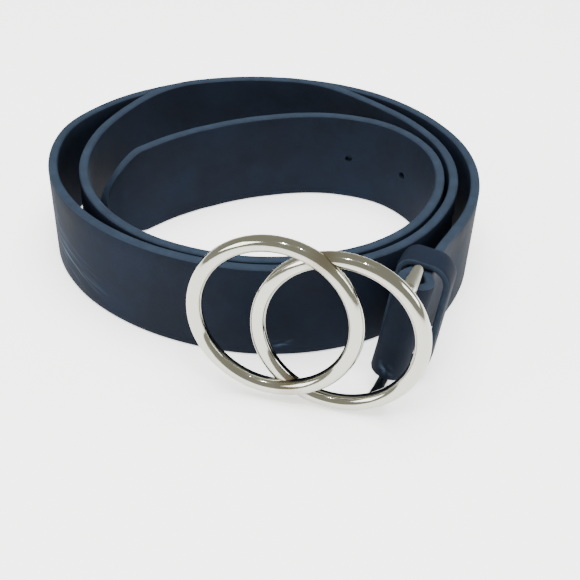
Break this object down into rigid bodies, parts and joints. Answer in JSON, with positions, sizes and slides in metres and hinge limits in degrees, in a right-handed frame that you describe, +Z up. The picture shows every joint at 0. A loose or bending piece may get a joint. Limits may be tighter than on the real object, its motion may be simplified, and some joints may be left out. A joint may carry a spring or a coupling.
{
  "type": "double ring belt",
  "caption": "Black leather belt, 32 mm wide, loosely coiled on its edge, with a polished nickel buckle of two overlapping rings.",
  "frame": {"origin": "on the table, under the middle of the whole belt's bounding box", "axes": "+X to the viewer's right, +Y away from the viewer past the buckle, +Z up"},
  "size_m": [0.1378, 0.141, 0.0519],
  "materials": {
    "strap_leather": "soft satin black with a blue cast",
    "keeper_leather": "soft satin black with a blue cast",
    "polished_nickel": "polished, slightly warm"
  },
  "bodies": {
    "belt": {"strap": "strap_leather", "keeper_loop": "keeper_leather"},
    "buckle": {"double_ring_buckle": "polished_nickel"}
  },
  "joints": [
    {"name": "buckle_swing", "type": "hinge", "parent": "belt", "child": "buckle", "pos_m": [0.04111, -0.05376, 0.02158], "axis": [0.1485, 0.0816, 0.9855], "range_deg": [-2.5, 80]}
  ]
}
